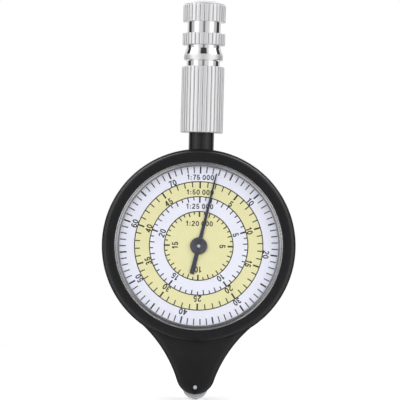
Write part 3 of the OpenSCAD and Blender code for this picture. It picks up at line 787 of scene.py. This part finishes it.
class MapMeasurerStage(bpy.types.Operator):
    """Sets the floor, the lamps, the surround and the camera."""

    bl_idname = "map_measurer.stage"
    bl_label = "Studio"

    def execute(self, context):
        stage = context.scene.map_measurer_stage
        context.scene.view_settings.view_transform = "Standard"
        self.floor()
        self.surround(context.scene, stage)
        for name, spot, size, power in LAMPS:
            self.lamp(name, spot, size, power * stage.lamp)
        self.camera(context.scene, stage)
        return {"FINISHED"}

    @classmethod
    def floor(cls):
        """White floor. It keeps the shadow near the object and runs out to plain white."""
        material = bpy.data.materials.new("floor")
        material.use_nodes = True
        tree = material.node_tree
        tree.nodes.remove(tree.nodes["Principled BSDF"])
        tone = blend_colours(tree, grain(tree, 40 * MM), grey(0.86), grey(0.88))
        matt = add(tree, "ShaderNodeBsdfDiffuse", inputs={"Color": tone})
        glow = add(tree, "ShaderNodeEmission", inputs={"Color": grey(1), "Strength": 0.2})
        lit = add(tree, "ShaderNodeAddShader", inputs={0: matt.outputs[0], 1: glow.outputs[0]})
        place = where(tree)
        away = distance(tree, place)
        mirrored = mirrored_rays(tree)
        sweep = blend_colours(tree, mirrored, grey(1), cls.sweep(tree, place))
        path = add(tree, "ShaderNodeLightPath").outputs
        # Bright surfaces see the floor dimmer near the object, a painted shadow, and brighter
        # through glass, painted light
        through = spread(tree, path["Is Transmission Ray"], 1.0, 1.5, 0, 1)
        near = spread(tree, away, 0.5, through, *PAINTED_SHADOW_REACH)
        power = spread(tree, mirrored, 1.0, near, 0, 1)
        white = add(tree, "ShaderNodeEmission", inputs={"Color": sweep, "Strength": power})
        far = calc(tree, "MAXIMUM", spread(tree, away, 0, 1, *SHADOW_REACH), mirrored)
        seen = mix_shaders(tree, far, lit.outputs[0], white.outputs[0])
        wire(tree, tree.nodes["Material Output"],
             Surface=white_for_seen_rays(tree, seen, matt.outputs[0]))
        bm = bmesh.new()
        bmesh.ops.create_grid(bm, x_segments=1, y_segments=1, size=FLOOR_HALF)
        mesh = bpy.data.meshes.new("floor")
        bm.to_mesh(mesh)
        bm.free()
        mesh.materials.append(material)
        floor = bpy.data.objects.new("floor", mesh)
        bpy.context.collection.objects.link(floor)

    @staticmethod
    def turned_share(tree, way):
        """How far a direction turns away from the object's front: 0 ahead, 1 behind."""
        place = axes(tree, way)
        turn = calc(tree, "ARCTAN2", place["X"], calc(tree, "MULTIPLY", place["Y"], -1))
        return calc(tree, "DIVIDE", calc(tree, "ABSOLUTE", turn), math.pi)

    @classmethod
    def sweep(cls, tree, way):
        """Levels around the object that bright metal and glass see: white with a few gaps."""
        return cls.ramp(tree, cls.turned_share(tree, way), (
            (0.0, 0.2), (0.025, 0.26), (0.055, 0.74), (0.19, 0.8), (0.23, 1.35),
            (0.37, 1.35), (0.42, 0.62), (0.52, 0.62), (0.55, 0.04), (0.69, 0.05), (0.73, 0.8),
            (1.0, 0.8)))

    @classmethod
    def patch(cls, tree, way, up, half, low):
        """A patch ahead of the object, to half its width on each side, from a low edge up."""
        ahead = cls.ramp(tree, cls.turned_share(tree, way), (
            (0.0, 1.0), (half, 1.0), (half + 0.02, 0.0), (1.0, 0.0)))
        raised = cls.ramp(tree, up, (
            (0.0, 0.0), (low, 0.0), (low + 0.05, 1.0), (0.68, 1.0), (0.74, 0.0), (1.0, 0.0)))
        return calc(tree, "MULTIPLY", ahead, raised)

    @staticmethod
    def sky(tree, colour, strength):
        """One background of the world."""
        return add(tree, "ShaderNodeBackground", inputs={
            "Color": colour, "Strength": strength}).outputs[0]

    @classmethod
    def surround(cls, scene, stage):
        """Even light all around, and what bright surfaces show: a sweep, strips and an arch."""
        world = bpy.data.worlds.new("studio")
        scene.world = world
        world.use_nodes = True
        tree = world.node_tree
        tree.nodes.clear()
        way = add(tree, "ShaderNodeTexCoord").outputs["Generated"]
        place = axes(tree, way)
        up = place["Z"]
        # A dark patch ahead of the object, half way up, wider for what is seen through glass
        gap = blend_colours(tree, add(tree, "ShaderNodeLightPath").outputs["Is Transmission Ray"],
                            cls.patch(tree, way, up, 0.115, 0.43),
                            cls.patch(tree, way, up, 0.165, 0.3))
        level = blend_colours(tree, gap, cls.sweep(tree, way), grey(0.05))
        # A bright strip behind the object on each side
        behind = cls.ramp(tree, cls.turned_share(tree, way), (
            (0.0, 0.0), (0.79, 0.0), (0.81, 1.0), (0.9, 1.0), (0.94, 0.0), (1.0, 0.0)))
        strips = calc(tree, "MULTIPLY", behind, spread(tree, up, 0, 1, 0.28, 0.34))
        level = blend_colours(tree, strips, level, grey(3.0))
        overhead = spread(tree, up, 0, 1, 0.74, 0.86)
        seen = blend_colours(tree, overhead, level, grey(0.9))
        # A narrow arch of light over the object, brighter on the left
        arch = spread(tree, calc(tree, "ABSOLUTE", place["Y"]), 1, 0, 0.12, 0.3)
        raised = cls.ramp(tree, up, (
            (0.0, 0.0), (0.2, 0.0), (0.5, 1.0), (0.8, 1.0), (0.93, 0.0), (1.0, 0.0)))
        power = spread(tree, place["X"], 4.0, 2.2, -0.2, 0.2)
        lit = calc(tree, "MULTIPLY_ADD", calc(tree, "MULTIPLY", arch, raised), power, 1.0)
        plain = white_for_seen_rays(
            tree, cls.sky(tree, grey(1), 1.0), cls.sky(tree, grey(1), stage.air))
        wire(tree, add(tree, "ShaderNodeOutputWorld"),
             Surface=mix_shaders(tree, mirrored_rays(tree), plain, cls.sky(tree, seen, lit)))

    @staticmethod
    def ramp(tree, value, stops):
        """Grey levels along a value from 0 to 1."""
        made = add(tree, "ShaderNodeValToRGB", inputs={"Fac": value})
        marks = made.color_ramp.elements
        for place, level in stops[1:-1]:
            marks.new(place)
        for mark, (place, level) in zip(marks, stops):
            mark.position = place
            mark.color = grey(level)
        return made.outputs["Color"]

    @staticmethod
    def lamp(name, spot, size, power):
        """A soft lamp that lights the matt surfaces, and isn't seen in bright ones or in glass."""
        light = bpy.data.lights.new(name, "AREA")
        light.shape = "SQUARE"
        light.size = size
        light.energy = power
        lamp = bpy.data.objects.new(name, light)
        aim = Vector((0, 0, TOP_Z / 2)) - Vector(spot)
        turn = aim.to_track_quat("-Z", "Y").to_matrix().to_4x4()
        lamp.matrix_world = Matrix.Translation(spot) @ turn
        lamp.visible_glossy = False
        lamp.visible_transmission = False
        bpy.context.collection.objects.link(lamp)

    @staticmethod
    def camera(scene, stage):
        """Square on the front, from far, turned by the lean of the picture."""
        lens = bpy.data.cameras.new("camera")
        lens.lens = stage.lens
        lens.sensor_fit = "HORIZONTAL"
        lens.sensor_width = 36
        lens.clip_start = 0.01
        lens.clip_end = 20
        camera = bpy.data.objects.new("camera", lens)
        far = VIEW_WIDTH * stage.lens / lens.sensor_width
        x, z = VIEW_MIDDLE
        c, s = math.cos(stage.lean), math.sin(stage.lean)
        camera.matrix_world = Matrix((
            (c, -s, 0, x), (0, 0, -1, -far), (s, c, 0, z), (0, 0, 0, 1)))
        bpy.context.collection.objects.link(camera)
        scene.camera = camera


class MapMeasurerPanel(bpy.types.Panel):
    """Lists the pieces of the map measurer."""

    bl_idname = "VIEW3D_PT_map_measurer"
    bl_label = "Map Measurer"
    bl_space_type = "VIEW_3D"
    bl_region_type = "UI"
    bl_category = "Map Measurer"

    def draw(self, context):
        for operator in OPERATORS:
            self.layout.operator(operator.bl_idname)
        for name in SETTINGS:
            group = getattr(context.scene, name)
            for key in group.__annotations__:
                self.layout.prop(group, key)


SETTINGS = {
    "map_measurer_dials": MapMeasurerDialSettings,
    "map_measurer_finishes": MapMeasurerFinishSettings,
    "map_measurer_stage": MapMeasurerStageSettings,
}
OPERATORS = (
    MapMeasurerCase, MapMeasurerCrystals, MapMeasurerDials, MapMeasurerPointers,
    MapMeasurerHandle, MapMeasurerWheel, MapMeasurerMovement, MapMeasurerStage,
)
CLASSES = (*SETTINGS.values(), *OPERATORS, MapMeasurerPanel)


def register():
    """Adds the settings, the operators and the panel."""
    for cls in CLASSES:
        bpy.utils.register_class(cls)
    for name, group in SETTINGS.items():
        setattr(bpy.types.Scene, name, PointerProperty(type=group))


def unregister():
    """Takes them away again."""
    for name in SETTINGS:
        delattr(bpy.types.Scene, name)
    for cls in reversed(CLASSES):
        bpy.utils.unregister_class(cls)


def main():
    """Makes every piece and the stage."""
    register()
    bpy.ops.map_measurer.case()
    bpy.ops.map_measurer.crystals()
    bpy.ops.map_measurer.dials()
    bpy.ops.map_measurer.pointers()
    bpy.ops.map_measurer.handle()
    bpy.ops.map_measurer.wheel()
    bpy.ops.map_measurer.movement()
    bpy.ops.map_measurer.stage()


if __name__ == "__main__":
    main()
